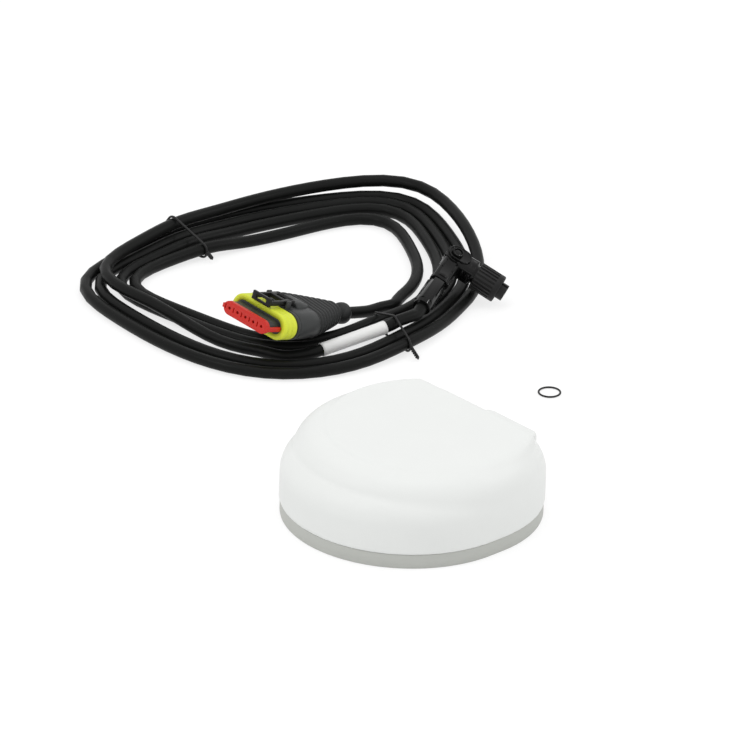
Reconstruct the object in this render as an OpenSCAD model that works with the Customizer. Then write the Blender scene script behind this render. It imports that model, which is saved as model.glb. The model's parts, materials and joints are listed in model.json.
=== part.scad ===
// Satellite receiver for a field machine: a tiered white radome on a grey base,
// with its coiled cable set and a loose sealing ring laid out beside it.

/* [Receiver] */
// Width of the receiver
receiver_w = 127; // [124:1:134]
// Length beyond the width, along the connector axis
receiver_extra = 9; // [7:1:12]
// Height of the whole receiver
receiver_h = 45.4; // [44:0.2:49]
// Height of the grey base
base_h = 7.6; // [7:0.1:8.6]
// Wall thickness of the radome
wall = 2.4; // [2:0.1:2.8]
// Distance from the centre to the flat above the connector
flat_y = 43; // [42:0.5:45]
// Width of the hood over the connector
hood_w = 38; // [37:0.5:44]

/* [Base] */
// Circle of the threaded mounting inserts
insert_pcd = 80; // [74:1:84]
// Thread radius of the mounting inserts
insert_r = 2.5; // [2:0.1:3]
// Number of cover screws
cover_screw_count = 6; // [6]

/* [Sealing ring] */
// Outside diameter of the loose sealing ring
ring_d = 12; // [10:0.5:16]
// Thickness of the sealing ring
ring_t = 1; // [0.8:0.1:1.6]

/* [Cable] */
// Diameter of the cable
cable_d = 6.2; // [5.4:0.1:6.4]
// Height of the upper layer of the coil over the lower one
layer_rise = 6.9; // [6.8:0.1:7.4]
// Least distance between neighbouring turns
turn_pitch = 6.9; // [6.9:0.1:7.4]
// Loose gap between the inner and the outer turns at the front
front_gap = 11; // [10:0.5:12]

/* [Elbow connector] */
// Outside diameter of the knurled coupling nut
nut_d = 14.8; // [14.4:0.1:16]
// Length of the coupling nut
nut_l = 14; // [13:0.5:15]
// Radius of the thread that the nut screws onto
thread_r = 6; // [5.8:0.05:6.05]

/* [Harness plug] */
// Number of ways in the plug
plug_ways = 5; // [5]
// Distance between neighbouring ways
plug_pitch = 6; // [5.6:0.1:6.2]

/* [Hidden] */
$fn = 64;
eps = 0.01;

// Receiver outline: a circle drawn out along the connector axis
half_w = receiver_w / 2;
stretch = receiver_extra / 2;
cover_h = receiver_h - base_h;

// Three eccentric tiers: radius, shift toward the connector, wall top and shoulder top
tier_r = [half_w, half_w - 0.5, half_w - 9.5];
tier_y = [0, 2.5, 10];
tier_top = [0.741 * cover_h, 0.952 * cover_h, 0.976 * cover_h];
tier_round = [0.357 * cover_h, 0.384 * cover_h, 0.09 * cover_h];
crown_w = tier_r[2] - tier_round[2];
crown_r = crown_w * crown_w / (2 * (cover_h - tier_top[2]));

// Sloped shelf and hood outside the flat
shelf_h = 0.619 * cover_h;
shelf_slope = 7.5;
hood_y = half_w + stretch + 2;
hood_corner = 5;

// Recess under the hood that holds the cable socket
recess_w = hood_w - 6;
recess_y = flat_y + 7;
recess_h = 17.2;
recess_wall = 2.4;
socket_z = base_h + 8.6;

// Base tray and its fittings
base_in = 0.6;
base_wall = 3;
floor_t = 3;
groove_in = 3.6;
gasket_w = 2;
gasket_t = 1.6;
boss_r = 3.8;
boss_h = 11;
screw_ring = half_w - 8.6;
screw_r = 1.45;
screw_head_r = 2.7;
screw_head_t = 2;
insert_wall = 1.1;
insert_l = 8;
insert_boss_r = insert_r + insert_wall + 1.8;
insert_turn = 45;

// Boards and antenna inside
board_r = 43;
board_y = -4;
board_t = 1.6;
standoff_h = 7;
board_z = floor_t + standoff_h;
standoff_pcd = 64;
standoff_turn = 22.5;
plane_r = 39;
plane_y = -2;
plane_z = base_h + 0.56 * cover_h;
patch_s = 45;
patch_t = 6;

// Cable set, drawn in a plan turned by lay_turn about the receiver's centre
lay_turn = 46;
cable_r = cable_d / 2;
coil_sides = 6;
lead_sides = 8;
coil_rings = 24;
coil_at = [-57.5, 248.5];
coil_side_dir = [16, 125, 234, 315];
coil_side_r = [63.5, 50, 64.5, 52];
coil_round = 3.6;
pitch_spread = 2;
pitch_dir = 115;
first_ring = 5;
last_ring = 119;
climb_turn = [4.24, 4.36];
cross_turn = [4.36, 4.62];
nose_turn = [4.6, 4.84];
fall_turn = [4.82, 4.93];
start_draw = 0.6;
cross_lanes = [1.5, 0.5];
tie_dir = [150, -53];
tie_skew = [-14, -6];
open_dir = 255;
tie_lift = 1.8;
tie_d = 1.3;

function smooth(a, b, x) = let (u = min(1, max(0, (x - a) / (b - a)))) u * u * (3 - 2 * u);
function unit(v) = v / norm(v);
function spun(v, a) = [v.x * cos(a) - v.y * sin(a), v.x * sin(a) + v.y * cos(a), v.z];

// The coil's inner outline is a polygon of four sides with soft corners
function coil_inner(a) = pow([for (i = [0:3]) pow(max(0, cos(a - coil_side_dir[i])) / coil_side_r[i],
    coil_round)] * [1, 1, 1, 1], -1 / coil_round);
function coil_pitch(a) = turn_pitch + pitch_spread * pow(max(0, cos(a - pitch_dir)), 2);
function tie_hump(a) = max([for (d = tie_dir) pow(max(0, cos(a - d)), 24)]);
function coil_lane(t) = t - start_draw * (1 - smooth(0.5, 0.8, t))
    - cross_lanes[0] * smooth(cross_turn[0], cross_turn[1], t)
    - cross_lanes[1] * smooth(nose_turn[0], nose_turn[1], t);
function coil_loose(t) = t < 2.5 || t > 4.5 ? 0 : t < 3.5 ? 1.3 : 1.5;
function coil_open(a) = front_gap * pow(max(0, cos(a - open_dir)), 1.5);
function coil_height(t) = smooth(climb_turn[0], climb_turn[1], t) - smooth(fall_turn[0], fall_turn[1], t);
function coil_point(t) = let (
        a = 360 * t - 90,
        r = coil_inner(a) + coil_pitch(a) * coil_lane(t) + coil_open(a) * coil_loose(t))
    [coil_at.x + r * cos(a), coil_at.y + r * sin(a),
     cable_r + 0.1 + tie_lift * tie_hump(a) + layer_rise * coil_height(t)];
coil_mid = [for (k = [first_ring:last_ring]) coil_point(k / coil_rings)];
coil_last = len(coil_mid) - 1;
coil_in = cable_d * unit(coil_mid[1] - coil_mid[0]);
coil_tail = coil_mid[coil_last] - coil_mid[coil_last - 1];
coil_out = cable_d * unit([coil_tail.x, coil_tail.y, 0]);
coil_start = coil_mid[0] - coil_in;
coil_stop = coil_mid[coil_last] + coil_out;
coil_path = concat([coil_start], coil_mid, [coil_stop]);

// Elbow connector: X is its mating axis, -Y its cable arm
elbow_at = [17.2, 241.3, 20.5];
elbow_turn = [12.2, 25.8, -16.6];
arm_l = 21;
gland_l = 21;
head_w = 11;
arm_w = 9.2;
neck_r = 5;
lip_r = 5.3;
collar_r = 5.85;
carrier_r = 4.4;
carrier_l = 31;
head_l = 12;
nut_start = 13.4;

// Harness plug: X runs from its face to its cable, Z is up
plug_at = [-87.2, 153.6, 27.9];
plug_turn = [6, 15.5, 43.5];
plug_row = plug_pitch * (plug_ways - 1);
plug_end = 72.7;
tongue_r = 3.6;
seal_r = 8.2;
seal_x = [9.6, 18.4];
body_x = [18.8, 36];
boot_x = [36, 63];
boot_ribs = 9;
bulb_r = 5.6;
latch_pivot = [20.6, 11.2];
latch_half = 6.5;
latch_gap = 0.4;

function plug_point(p) = plug_at + turned(p, plug_turn);
function elbow_point(p) = elbow_at + turned(p, elbow_turn);
function turned(p, a) = let (
        x = [p.x, p.y * cos(a.x) - p.z * sin(a.x), p.y * sin(a.x) + p.z * cos(a.x)],
        y = [x.x * cos(a.y) + x.z * sin(a.y), x.y, x.z * cos(a.y) - x.x * sin(a.y)])
    spun(y, a.z);

// Free stretches of the cable between the coil and its two ends
plug_route = concat([plug_point([plug_end, 0, 0]), plug_point([plug_end + cable_d, 0, 0])],
    [[-25, 212.5, 4.6], [-18.5, 219, 3.7]], [coil_start - coil_in, coil_start]);
gland_end = -arm_l - gland_l;
label_low = [-49.2, 165.6, 4.6];
label_high = [-15.4, 185.2, 9.8];
label_inset = 0.03 * (label_high - label_low);
label_span = [label_low + label_inset, label_high - label_inset];
connector_route = concat([coil_stop, coil_stop + coil_out / 2],
    [[-65.5, 160.6, 3.3], [-57.5, 162.2, 3.6], label_low, (label_low + label_high) / 2, label_high,
     [-9.5, 189.6, 11.2], [-3.4, 194.2, 11.6]],
    [elbow_point([0, gland_end - cable_d, 0]), elbow_point([0, gland_end, 0])]);

// Swept tube: one ring of points at each point of a path, closed by flat ends
function path_dir(path, i) = let (n = len(path) - 1)
    i == 0 ? unit(path[1] - path[0])
    : i == n ? unit(path[n] - path[n - 1])
    : unit(unit(path[i + 1] - path[i]) + unit(path[i] - path[i - 1]));
function ring_points(at, dir, r, sides) = let (
        side = unit(cross(dir, [0, 0, 1])),
        up = cross(side, dir))
    [for (k = [0:sides - 1]) at + r * (side * cos(360 * k / sides) + up * sin(360 * k / sides))];

module swept_tube(path, r, sides) {
    rings = len(path);
    last = (rings - 1) * sides;
    points = [for (i = [0:rings - 1]) each ring_points(path[i], path_dir(path, i), r, sides)];
    walls = [for (i = [0:rings - 2], k = [0:sides - 1])
        let (a = i * sides + k, b = i * sides + (k + 1) % sides)
        each [[a, b + sides, b], [a, a + sides, b + sides]]];
    caps = [for (k = [1:sides - 2]) each [[0, k, k + 1], [last, last + k + 1, last + k]]];
    polyhedron(points, concat(walls, caps));
}

// Least gap between the coil's turns, measured on points along its chords
gap_steps = 3;
coil_samples = [for (i = [0:len(coil_path) - 2], s = [0:gap_steps - 1])
    coil_path[i] + (coil_path[i + 1] - coil_path[i]) * s / gap_steps];
coil_gap = min([for (i = [0:len(coil_samples) - 1], j = [i + 30:1:len(coil_samples) - 1])
    norm(coil_samples[i] - coil_samples[j])]) - cable_d;
route_length = function (p) [for (i = [1:len(p) - 1]) norm(p[i] - p[i - 1])] * [for (i = [1:len(p) - 1]) 1];
cable_length = route_length(plug_route) + route_length(coil_path) + route_length(connector_route);
echo(coil_gap = coil_gap, cable_length = cable_length);

// Plan shapes shared by the receiver's pieces
module oval(r) {
    for (s = [-1, 1])
        translate([0, s * stretch]) circle(r);
    square([2 * r, 2 * stretch], center = true);
}

module bolt_circle(count, r, turn, shift = 0) {
    for (k = [0:count - 1]) {
        a = turn + 360 * k / count;
        translate([r * cos(a), r * sin(a) + shift, 0]) children();
    }
}

// Stations of the cover screws, spread with the oval
module screw_stations() {
    for (k = [0:cover_screw_count - 1]) {
        a = 360 * k / cover_screw_count;
        translate([screw_ring * cos(a), screw_ring * sin(a) + stretch * sign(round(10 * sin(a))), 0])
            children();
    }
}

// Half section of one tier, moved inward by inset for the inside of the shell
module tier_section(i, inset) {
    r = tier_r[i] - inset;
    top = tier_top[i] - inset;
    rr = tier_round[i] - inset;
    translate([0, -inset]) square([r, top - rr + inset]);
    square([r - rr, top]);
    intersection() {
        translate([r - rr, top - rr]) circle(rr);
        square([r, top]);
    }
}

module crown_section(inset) {
    intersection() {
        translate([0, cover_h - inset - crown_r]) circle(crown_r);
        square([tier_r[2] - tier_round[2], cover_h]);
    }
}

// Outer tier drawn out along the connector axis
module rim_tier(inset) {
    for (turn = [0, 180])
        rotate([0, 0, turn]) translate([0, stretch, 0]) rotate_extrude(angle = 180) tier_section(0, inset);
    rotate([90, 0, 0]) linear_extrude(2 * stretch, center = true) {
        tier_section(0, inset);
        mirror([1, 0]) tier_section(0, inset);
    }
}

// Space cut away outside the flat and above the sloped shelf
module shelf_cut(inset) {
    y0 = flat_y - inset;
    reach = 60;
    rotate([90, 0, 90]) linear_extrude(2 * receiver_w, center = true)
        polygon([[y0, shelf_h - inset], [y0 + reach, shelf_h - inset - reach * tan(shelf_slope)],
            [y0 + reach, 2 * cover_h], [y0, 2 * cover_h]]);
}

module hood_block(inset) {
    w = hood_w - 2 * inset;
    r = hood_corner - inset;
    out = hood_y - inset;
    translate([0, 0, -inset]) linear_extrude(shelf_h + inset) {
        translate([-w / 2, 0]) square([w, out - r]);
        translate([-w / 2 + r, 0]) square([w - 2 * r, out]);
        for (s = [-1, 1])
            translate([s * (w / 2 - r), out - r]) circle(r);
    }
}

module cover_form(inset) {
    difference() {
        union() {
            rim_tier(inset);
            for (i = [1, 2])
                translate([0, tier_y[i], 0]) rotate_extrude() tier_section(i, inset);
            translate([0, tier_y[2], 0]) rotate_extrude() crown_section(inset);
            hood_block(inset);
        }
        shelf_cut(inset);
    }
}

// White radome with its tiers, flat, hood, recess and screw bosses
flange_in = 6.4;
flange_t = 2.6;
module top_cover() {
    color([0.93, 0.94, 0.93]) translate([0, 0, base_h]) difference() {
        union() {
            difference() {
                cover_form(0);
                difference() {
                    cover_form(wall);
                    translate([-recess_w / 2 - recess_wall, recess_y - recess_wall, 0])
                        cube([recess_w + 2 * recess_wall, hood_y, cover_h]);
                }
            }
            linear_extrude(flange_t) difference() {
                oval(half_w - wall / 2);
                oval(half_w - flange_in);
            }
            screw_stations() cylinder(r = boss_r, h = boss_h);
        }
        translate([-recess_w / 2, recess_y, -1]) cube([recess_w, hood_y, recess_h + 1]);
        translate([0, recess_y, socket_z - base_h]) rotate([90, 0, 0])
            cylinder(r = thread_r + 0.2, h = 3 * wall);
        screw_stations() translate([0, 0, -1]) cylinder(r = screw_r + 0.05, h = boss_h - 1);
    }
}

// Grey base tray with gasket groove, screw columns and insert bosses
module base_housing() {
    color([0.70, 0.71, 0.69]) difference() {
        union() {
            linear_extrude(base_h) difference() {
                oval(half_w - base_in);
                oval(half_w - base_in - 2 * base_wall);
            }
            linear_extrude(floor_t) oval(half_w - base_in - base_wall);
            screw_stations() cylinder(r = boss_r + 0.6, h = base_h);
            bolt_circle(4, insert_pcd / 2, insert_turn) cylinder(r = insert_boss_r, h = insert_l + 1);
        }
        translate([0, 0, base_h - gasket_t]) linear_extrude(gasket_t + 1) difference() {
            oval(half_w - groove_in + gasket_w / 2);
            oval(half_w - groove_in - gasket_w / 2);
        }
        screw_stations() {
            translate([0, 0, -1]) cylinder(r = screw_head_r + 0.3, h = screw_head_t + 1.4);
            cylinder(r = screw_r + 0.25, h = base_h + 1);
        }
        bolt_circle(4, insert_pcd / 2, insert_turn)
            translate([0, 0, -1]) cylinder(r = insert_r + insert_wall, h = insert_l + 1);
    }
}

// Rubber cord that seals the cover to the base
module cover_gasket() {
    color([0.12, 0.12, 0.12]) translate([0, 0, base_h - gasket_t]) linear_extrude(gasket_t) difference() {
        oval(half_w - groove_in + gasket_w / 2 - 0.1);
        oval(half_w - groove_in - gasket_w / 2 + 0.1);
    }
}

// Countersunk ring of screws that hold the cover from below
module cover_screws() {
    color([0.72, 0.72, 0.74]) screw_stations() difference() {
        union() {
            translate([0, 0, 0.4]) cylinder(r = screw_head_r, h = screw_head_t);
            translate([0, 0, screw_head_t]) cylinder(r = screw_r, h = base_h + boss_h - 4 - screw_head_t);
        }
        translate([0, 0, -1]) cylinder(r = 1.2, h = 2.2, $fn = 6);
    }
}

// Brass inserts with the mounting threads
module mount_inserts() {
    color([0.80, 0.65, 0.30]) bolt_circle(4, insert_pcd / 2, insert_turn) difference() {
        cylinder(r = insert_r + insert_wall, h = insert_l);
        translate([0, 0, -1]) cylinder(r = insert_r, h = insert_l);
    }
}

// Round circuit board that carries the receiver
module main_board() {
    color([0.10, 0.38, 0.20]) translate([0, board_y, board_z]) difference() {
        cylinder(r = board_r, h = board_t);
        bolt_circle(4, standoff_pcd / 2, standoff_turn) translate([0, 0, -1])
            cylinder(r = 1.5, h = board_t + 2);
    }
}

module board_standoffs() {
    color([0.78, 0.78, 0.80]) translate([0, board_y, floor_t])
    bolt_circle(4, standoff_pcd / 2, standoff_turn) difference() {
        cylinder(r = 3, h = standoff_h, $fn = 6);
        translate([0, 0, 1.5]) cylinder(r = 1.25, h = standoff_h);
    }
}

module board_screws() {
    color([0.72, 0.72, 0.74]) translate([0, board_y, board_z])
    bolt_circle(4, standoff_pcd / 2, standoff_turn) {
        translate([0, 0, board_t]) cylinder(r = 2.6, h = 1.8);
        translate([0, 0, -4]) cylinder(r = 1.2, h = board_t + 4.5);
    }
}

// Receiver module under its tin lid
module_z = board_z + board_t;
module_t = 3;
module receiver_module() {
    color([0.66, 0.67, 0.68]) translate([-11, board_y - 8.5, module_z]) cube([22, 17, module_t]);
}

// Amplifier under the ground plane
can_t = 4;
module shield_can() {
    color([0.74, 0.75, 0.76]) translate([-13, plane_y - 13, plane_z - can_t]) cube([26, 26, can_t]);
}

module antenna_spacers() {
    color([0.88, 0.88, 0.86]) translate([0, plane_y, module_z]) bolt_circle(4, plane_r - 5, 45)
        cylinder(r = 2.6, h = plane_z - module_z);
}

feed_at = [5, plane_y + 4];
module ground_plane() {
    color([0.72, 0.45, 0.20]) translate([0, 0, plane_z]) difference() {
        translate([0, plane_y, 0]) cylinder(r = plane_r, h = board_t);
        translate([feed_at.x, feed_at.y, -1]) cylinder(r = 0.75, h = board_t + 2);
    }
}

// Ceramic patch with a chamfered corner and its silvered face
module patch_antenna() {
    half = patch_s / 2;
    cut = 4;
    color([0.80, 0.74, 0.62]) translate([0, 0, plane_z + board_t]) difference() {
        translate([0, plane_y, 0]) {
            linear_extrude(patch_t)
                polygon([[-half, -half], [half - cut, -half], [half, cut - half], [half, half],
                    [cut - half, half], [-half, half - cut]]);
            translate([5 - half, 5 - half, patch_t - eps]) cube([patch_s - 10, patch_s - 10, 0.3]);
        }
        translate([feed_at.x, feed_at.y, -1]) cylinder(r = 0.75, h = patch_t + 3);
    }
}

module feed_pin() {
    color([0.85, 0.72, 0.35]) translate([feed_at.x, feed_at.y, plane_z]) {
        cylinder(r = 0.6, h = board_t + patch_t + 0.3);
        translate([0, 0, board_t + patch_t + 0.3]) cylinder(r = 1.5, h = 0.6);
    }
}

// Short coaxial link from the amplifier to the receiver
module coax_lead() {
    color([0.15, 0.15, 0.15]) translate([6, board_y, module_z + module_t])
        cylinder(r = 0.9, h = plane_z - can_t - module_z - module_t);
}

// Panel socket in the recess, its axis along +Y
flange_y = recess_y + 0.8;
module along_socket(y) {
    translate([0, y, socket_z]) rotate([-90, 0, 0]) children();
}

module socket_shell() {
    color([0.80, 0.80, 0.80]) difference() {
        union() {
            along_socket(recess_y - 8) cylinder(r = thread_r, h = 20.8);
            along_socket(flange_y) cylinder(r = 7.7, h = 2);
        }
        along_socket(recess_y - 9) cylinder(r = 4.8, h = 30);
        along_socket(recess_y + 12) cylinder(r1 = 4.8, r2 = 5.6, h = 0.81);
    }
}

module socket_gasket() {
    color([0.10, 0.10, 0.10]) along_socket(recess_y) difference() {
        cylinder(r = 7.4, h = 0.8);
        translate([0, 0, -1]) cylinder(r = thread_r + 0.05, h = 3);
    }
}

module socket_nut() {
    color([0.78, 0.78, 0.78]) along_socket(recess_y - recess_wall - 2.6) difference() {
        cylinder(r = 8.6, h = 2.6, $fn = 6);
        translate([0, 0, -1]) cylinder(r = thread_r + 0.05, h = 5);
    }
}

pin_ring = 2.5;
module pin_stations() {
    children();
    for (a = [45:90:315])
        translate([pin_ring * cos(a), pin_ring * sin(a), 0]) children();
}

module socket_insert() {
    color([0.08, 0.08, 0.08]) along_socket(recess_y - 7.4) difference() {
        cylinder(r = 4.75, h = 14);
        pin_stations() translate([0, 0, -1]) cylinder(r = 0.55, h = 20);
    }
}

module socket_pins() {
    color([0.85, 0.70, 0.32]) along_socket(recess_y - 8.2) pin_stations() cylinder(r = 0.5, h = 19.4);
}

header_y = board_y + board_r - 8;
module socket_leads() {
    color([0.75, 0.20, 0.15]) along_socket(header_y) pin_stations()
        cylinder(r = 0.7, h = recess_y - 8.2 - header_y);
}

module board_header() {
    color([0.92, 0.92, 0.88]) translate([-6, header_y - 5, module_z])
        cube([12, 5, socket_z + 4 - module_z]);
}

// Loose sealing ring for the cable joint
ring_at = spun([67.8, 135.9, 0], lay_turn);
module seal_ring() {
    color([0.06, 0.06, 0.06]) translate(ring_at + [0, 0, ring_t / 2])
        rotate_extrude() translate([(ring_d - ring_t) / 2, 0]) circle(ring_t / 2);
}

// The cable set lies in its own turned plan
module laid() {
    rotate([0, 0, lay_turn]) children();
}

module cable_coil() {
    color([0.13, 0.13, 0.13]) laid() swept_tube(coil_path, cable_r, coil_sides);
}

module plug_lead() {
    color([0.14, 0.14, 0.14]) laid() swept_tube(plug_route, cable_r, lead_sides);
}

module connector_lead() {
    color([0.14, 0.14, 0.14]) laid() swept_tube(connector_route, cable_r, lead_sides);
}

// White sleeve on the straight stretch before the elbow
module cable_label() {
    axis = label_span[1] - label_span[0];
    l = norm(axis);
    color([0.92, 0.92, 0.91]) laid() translate(label_span[0])
        rotate([0, 90 - asin(axis.z / l), atan2(axis.y, axis.x)]) difference() {
            cylinder(r = cable_r + 0.45, h = l);
            translate([0, 0, -1]) cylinder(r = cable_r + 0.08, h = l + 2);
        }
}

// Wire tie: a flat loop that stands round the turns, with its twisted tail
tie_top = cable_d + tie_lift + layer_rise + 2.4;
module wire_tie(dir, skew, r_in, r_out, tail) {
    bend = (tie_top - tie_d) / 2;
    low = tie_d / 2 + 0.05;
    mid = (r_in + r_out) / 2;
    half = (r_out - r_in) / 2 * cos(skew);
    laid() translate([coil_at.x + mid * cos(dir), coil_at.y + mid * sin(dir), low + bend])
        rotate([90, 0, dir + skew]) {
            for (s = [-1, 1]) {
                translate([-half, s * bend, 0]) rotate([0, 90, 0]) cylinder(d = tie_d, h = 2 * half);
                translate([s * half, 0, 0]) rotate([0, 0, -90 * s])
                    rotate_extrude(angle = 180) translate([bend, 0]) circle(d = tie_d);
            }
            translate([sign(tail) * half, 0, 0]) rotate([0, 0, tail > 0 ? -15 : 195])
                translate([bend, 0, 0]) rotate([0, 90, 0]) cylinder(d = 1.7 * tie_d, h = abs(tail));
        }
}

// Inner and outer reach of the turns at a tie
function tie_reach(dir, lane) = coil_inner(dir) + coil_pitch(dir) * lane + coil_open(dir) * coil_loose(lane);
module tie_rear() {
    lane = (tie_dir[0] + 90) / 360;
    color([0.10, 0.10, 0.10]) wire_tie(tie_dir[0], tie_skew[0],
        tie_reach(tie_dir[0], lane), tie_reach(tie_dir[0], lane + 3), -5);
}

module tie_front() {
    lane = (tie_dir[1] + 90) / 360;
    color([0.10, 0.10, 0.10]) wire_tie(tie_dir[1], tie_skew[1],
        tie_reach(tie_dir[1], lane + 1), tie_reach(tie_dir[1], lane + 4), 9);
}

// Elbow connector frame: X along the mating axis, -Y along the cable arm
module at_elbow() {
    laid() translate(elbow_at) rotate(elbow_turn) children();
}

module along_mate(x) {
    translate([x, 0, 0]) rotate([0, 90, 0]) children();
}

module along_arm(y) {
    translate([0, y, 0]) rotate([90, 0, 0]) children();
}

module rounded_bar(w, h, r) {
    square([w - 2 * r, h], center = true);
    square([w, h - 2 * r], center = true);
    for (x = [-1, 1], y = [-1, 1])
        translate([x * (w / 2 - r), y * (h / 2 - r)]) circle(r);
}

// Moulded elbow: head, cable arm, neck and the collar that keeps the nut
module elbow_body() {
    color([0.07, 0.07, 0.07]) at_elbow() difference() {
        union() {
            along_mate(-1) linear_extrude(head_l + 1) rounded_bar(head_w, head_w, 2.5);
            along_arm(6) linear_extrude(arm_l + 6) rounded_bar(arm_w, arm_w, 2.4);
            translate([0, 0, -head_w / 2]) cylinder(r = head_w / 2, h = head_w);
            along_arm(4 - arm_l) cylinder(r = arm_w / 2 + 0.6, h = 2);
            along_mate(head_l - 3) cylinder(r = head_w / 2 + 0.7, h = 2);
            along_mate(head_l) cylinder(r = neck_r, h = 5);
            along_mate(nut_start + 2.1) cylinder(r = collar_r, h = 1.6);
        }
        along_mate(2) cylinder(r = carrier_r - 0.9, h = 40);
        along_mate(head_l + 0.5) cylinder(r = carrier_r, h = 9);
        along_arm(3) cylinder(r = cable_r, h = 60);
    }
}

// Oval lid over the wiring chamber
module elbow_cap() {
    color([0.10, 0.10, 0.10]) at_elbow() translate([0, 0, head_w / 2]) difference() {
        union() {
            linear_extrude(1.2) {
                circle(4.6);
                translate([0, -4.6]) square([8, 9.2]);
            }
            cylinder(r = 2.9, h = 1.8);
        }
        translate([0, 0, 1.3]) cylinder(r = 2.2, h = 1);
    }
}

// Knurled coupling nut that turns on the neck
knurl_count = 24;
module coupling_nut() {
    color([0.12, 0.12, 0.12]) at_elbow() difference() {
        union() {
            along_mate(nut_start) cylinder(d = nut_d - 0.8, h = nut_l);
            along_mate(nut_start + nut_l - 3) cylinder(d = nut_d, h = 2.6);
            along_mate(nut_start) for (k = [0:knurl_count - 1])
                rotate([0, 0, 360 * k / knurl_count]) translate([nut_d / 2 - 1, -0.45, 0.6])
                    cube([1, 0.9, nut_l - 3]);
        }
        along_mate(nut_start - 1) cylinder(r = lip_r, h = nut_l);
        along_mate(nut_start + 1.7) cylinder(r = thread_r + 0.2, h = nut_l);
    }
}

// Contact carrier with its keyed front
module contact_carrier() {
    color([0.09, 0.09, 0.09]) at_elbow() difference() {
        along_mate(head_l + 0.5) cylinder(r = carrier_r - 0.02, h = carrier_l - head_l - 0.5);
        along_mate(head_l + 3) pin_stations() cylinder(r = 0.85, h = carrier_l);
        translate([carrier_l - 7, -0.7, carrier_r - 0.8]) cube([8, 1.4, 2]);
    }
}

module carrier_contacts() {
    color([0.85, 0.70, 0.32]) at_elbow() along_mate(head_l + 4.2) pin_stations() difference() {
        cylinder(r = 0.8, h = carrier_l - head_l - 4.6);
        translate([0, 0, 6]) cylinder(r = 0.5, h = carrier_l);
    }
}

module gland_seal() {
    color([0.05, 0.05, 0.05]) at_elbow() along_arm(-arm_l) difference() {
        cylinder(r = arm_w / 2 - 0.5, h = 1);
        translate([0, 0, -1]) cylinder(r = cable_r, h = 3);
    }
}

// Hexagonal gland nut with a rounded mouth
module gland_nut() {
    color([0.08, 0.08, 0.08]) at_elbow() difference() {
        union() {
            along_arm(-arm_l - 1) cylinder(r = 5.3, h = gland_l - 4, $fn = 6);
            along_arm(-arm_l - 1) cylinder(r = 4.6, h = gland_l - 1);
        }
        along_arm(-arm_l) cylinder(r = 1.6, h = gland_l - 6);
    }
}

// Harness plug frame: X from its face to its cable, Z up
module at_plug() {
    laid() translate(plug_at) rotate(plug_turn) children();
}

module along_plug(x) {
    translate([x, 0, 0]) rotate([90, 0, 90]) children();
}

module stadium(row, r) {
    square([row, 2 * r], center = true);
    for (s = [-1, 1])
        translate([s * row / 2, 0]) circle(r);
}

module way_stations() {
    for (k = [0:plug_ways - 1])
        translate([0, (k - (plug_ways - 1) / 2) * plug_pitch, 0]) children();
}

// Red face plate with its guide arms, which slides to lock the contacts
lock_t = 2.2;
arm_y = plug_row / 2 + tongue_r + 0.9;
module secondary_lock() {
    color([0.80, 0.12, 0.10]) at_plug() difference() {
        union() {
            along_plug(0) linear_extrude(lock_t) stadium(plug_row, tongue_r + 0.6);
            for (s = [-1, 1])
                translate([0, s * arm_y - 0.6, -1.3]) cube([seal_x[0] - 0.3, 1.2, 2.6]);
        }
        way_stations() along_plug(-1) {
            cylinder(r = 0.9, h = lock_t + 2);
            translate([plug_pitch / 2 - 0.4, -1.5, 0]) cube([0.8, 3, 1.8]);
        }
    }
}

// Dark grey housing: tongue, seal step, shoulders, latch ears and contact bores
module plug_housing() {
    color([0.20, 0.21, 0.22]) at_plug() difference() {
        union() {
            along_plug(lock_t + 0.4) linear_extrude(seal_x[0]) stadium(plug_row, tongue_r);
            along_plug(seal_x[0]) linear_extrude(body_x[0] - seal_x[0]) stadium(plug_row, tongue_r + 1);
            along_plug(body_x[0]) linear_extrude(4) stadium(plug_row, seal_r + 0.2);
            hull() {
                along_plug(body_x[0] + 3) linear_extrude(1) stadium(plug_row, seal_r + 0.2, $fn = 32);
                along_plug(body_x[1] - 1) linear_extrude(1) stadium(plug_row - 3, seal_r - 0.2, $fn = 32);
            }
            for (s = [-1, 1])
                translate([latch_pivot.x - 1.6, s * (latch_half + latch_gap + 0.6) - 0.6, seal_r - 3])
                    cube([3.2, 1.2, latch_pivot.y + 1.8 - seal_r + 3]);
        }
        way_stations() along_plug(0) {
            cylinder(r = 1.5, h = 40);
            translate([0, 0, 24]) cylinder(r = 2.2, h = 40);
        }
        translate([latch_pivot.x, 0, latch_pivot.y]) rotate([90, 0, 0])
            cylinder(r = 1.2, h = 4 * latch_half, center = true);
    }
}

// Lime interface seal with three ribs
module interface_seal() {
    color([0.80, 0.88, 0.10]) at_plug() difference() {
        union() {
            along_plug(seal_x[0]) linear_extrude(seal_x[1] - seal_x[0]) stadium(plug_row, seal_r - 0.4);
            for (k = [0:2])
                along_plug(seal_x[0] + 0.6 + 2.9 * k) linear_extrude(1.8) stadium(plug_row, seal_r);
        }
        along_plug(seal_x[0] - 1) linear_extrude(seal_x[1]) stadium(plug_row, tongue_r + 1.1);
    }
}

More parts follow.
